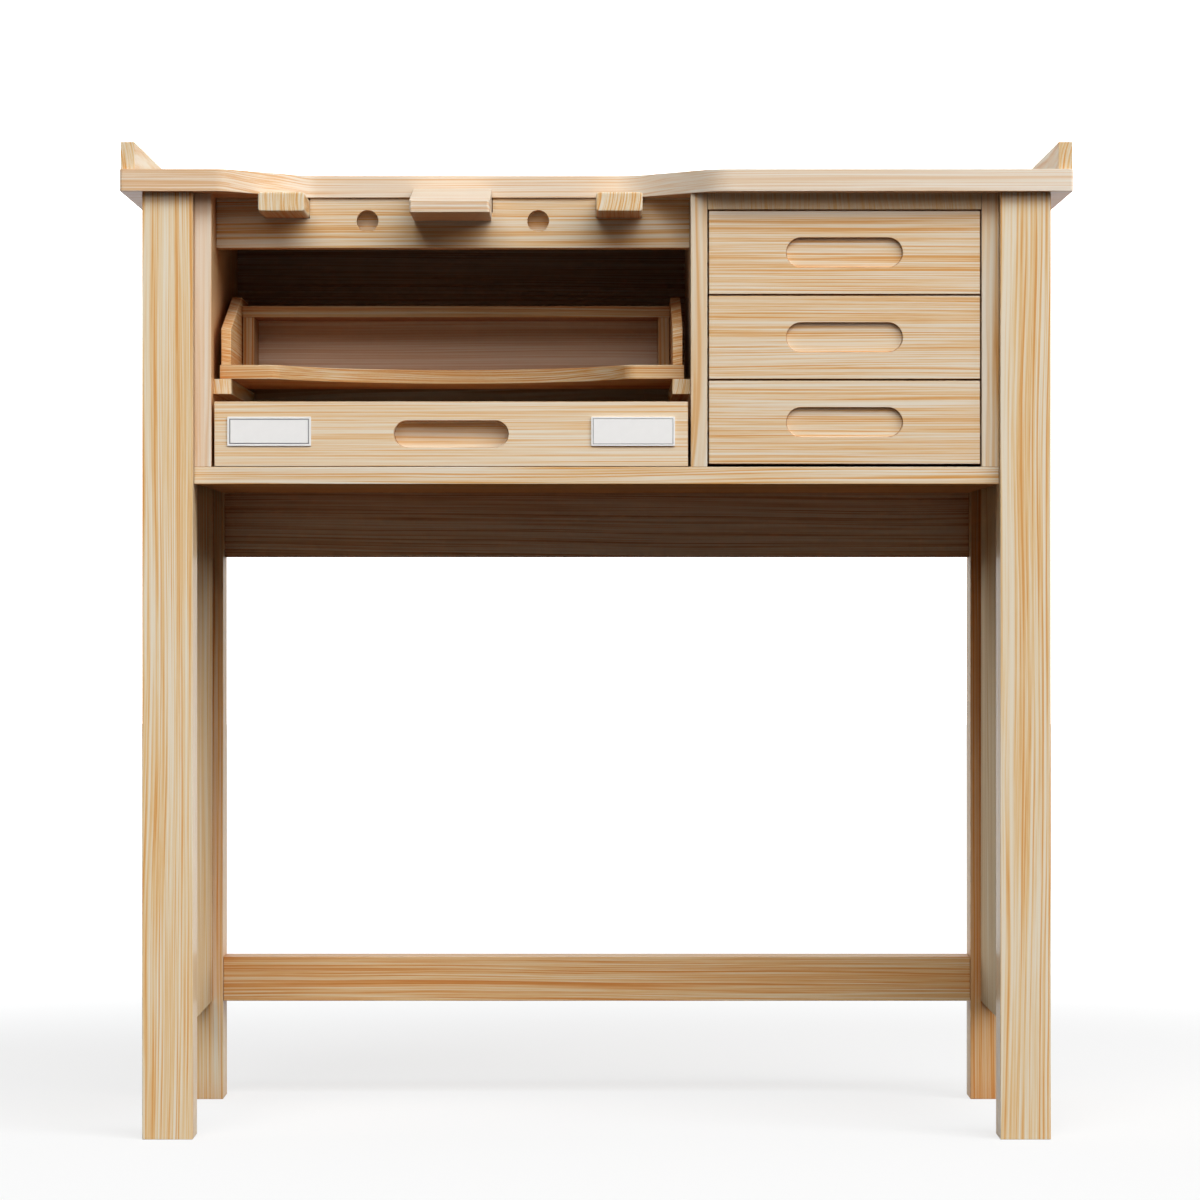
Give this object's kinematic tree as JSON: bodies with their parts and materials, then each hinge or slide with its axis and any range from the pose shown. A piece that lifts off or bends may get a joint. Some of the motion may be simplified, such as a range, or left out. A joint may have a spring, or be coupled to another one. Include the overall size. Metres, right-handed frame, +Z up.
{
  "type": "jewelers bench",
  "caption": "Wooden jeweler's bench with a belly cut-out, plug-in bench pin, pull-out arm rests, catch tray with tool rack, wide drawer and a stack of small drawers on square legs.",
  "frame": {"origin": "on the floor, under the centre of the bounding box", "axes": "+X to the worker's right, +Y from the worker's side to the back, +Z up"},
  "size_m": [0.94, 0.477, 0.9855],
  "materials": {
    "varnished_wood": "satin varnish",
    "end_grain_wood": "satin varnish",
    "box_wood": "sanded, thin oil"
  },
  "bodies": {
    "frame": {"bench_top": "varnished_wood", "gallery_rail_left": "varnished_wood", "gallery_rail_right": "varnished_wood", "gallery_rail_rear": "varnished_wood", "front_leg_left": "varnished_wood", "front_leg_right": "varnished_wood", "rear_leg_left": "varnished_wood", "rear_leg_right": "varnished_wood", "side_panel_left": "varnished_wood", "side_panel_right": "varnished_wood", "rear_stretcher": "varnished_wood", "rear_rail": "varnished_wood", "carcass_floor": "varnished_wood", "carcass_side_left": "varnished_wood", "carcass_side_right": "varnished_wood", "carcass_divider": "varnished_wood", "carcass_back": "varnished_wood", "bench_pin_rail": "varnished_wood", "drawer_bay_top": "end_grain_wood", "tray_runner_left": "varnished_wood", "tray_runner_right": "varnished_wood", "armrest_guide_left": "varnished_wood", "armrest_guide_right": "varnished_wood", "lower_drawer_runner_left": "box_wood", "lower_drawer_runner_right": "box_wood", "middle_drawer_runner_left": "box_wood", "middle_drawer_runner_right": "box_wood", "upper_drawer_runner_left": "box_wood", "upper_drawer_runner_right": "box_wood"},
    "lower_drawer": {"lower_drawer_front": "varnished_wood", "lower_drawer_side_left": "box_wood", "lower_drawer_side_right": "box_wood", "lower_drawer_back": "box_wood", "lower_drawer_bottom": "box_wood"},
    "middle_drawer": {"middle_drawer_front": "varnished_wood", "middle_drawer_side_left": "box_wood", "middle_drawer_side_right": "box_wood", "middle_drawer_back": "box_wood", "middle_drawer_bottom": "box_wood"},
    "upper_drawer": {"upper_drawer_front": "varnished_wood", "upper_drawer_side_left": "box_wood", "upper_drawer_side_right": "box_wood", "upper_drawer_back": "box_wood", "upper_drawer_bottom": "box_wood"},
    "wide_drawer": {"wide_drawer_front": "varnished_wood", "wide_drawer_side_left": "box_wood", "wide_drawer_side_right": "box_wood", "wide_drawer_back": "box_wood", "wide_drawer_bottom": "box_wood"},
    "tray": {"tray_base": "varnished_wood", "tray_side_left": "varnished_wood", "tray_side_right": "varnished_wood", "rack_top": "varnished_wood", "rack_end_left": "varnished_wood", "rack_end_right": "varnished_wood", "tray_back": "varnished_wood"},
    "left_armrest": {"armrest_left": "end_grain_wood"},
    "right_armrest": {"armrest_right": "end_grain_wood"},
    "pin": {"bench_pin": "varnished_wood"}
  },
  "joints": [
    {"name": "lower_drawer_slide", "type": "slide", "parent": "frame", "child": "lower_drawer", "axis": [0, -1, 0], "range_m": [0, 0.24]},
    {"name": "middle_drawer_slide", "type": "slide", "parent": "frame", "child": "middle_drawer", "axis": [0, -1, 0], "range_m": [0, 0.24]},
    {"name": "upper_drawer_slide", "type": "slide", "parent": "frame", "child": "upper_drawer", "axis": [0, -1, 0], "range_m": [0, 0.24]},
    {"name": "wide_drawer_slide", "type": "slide", "parent": "frame", "child": "wide_drawer", "axis": [0, -1, 0], "range_m": [0, 0.24]},
    {"name": "tray_slide", "type": "slide", "parent": "frame", "child": "tray", "axis": [0, -1, 0], "range_m": [0, 0.16]},
    {"name": "left_armrest_slide", "type": "slide", "parent": "frame", "child": "left_armrest", "axis": [0, -1, 0], "range_m": [-0.066, 0.04]},
    {"name": "right_armrest_slide", "type": "slide", "parent": "frame", "child": "right_armrest", "axis": [0, -1, 0], "range_m": [-0.066, 0.04]},
    {"name": "pin_pull", "type": "slide", "parent": "frame", "child": "pin", "axis": [0, -1, 0], "range_m": [0, 0.05]}
  ]
}
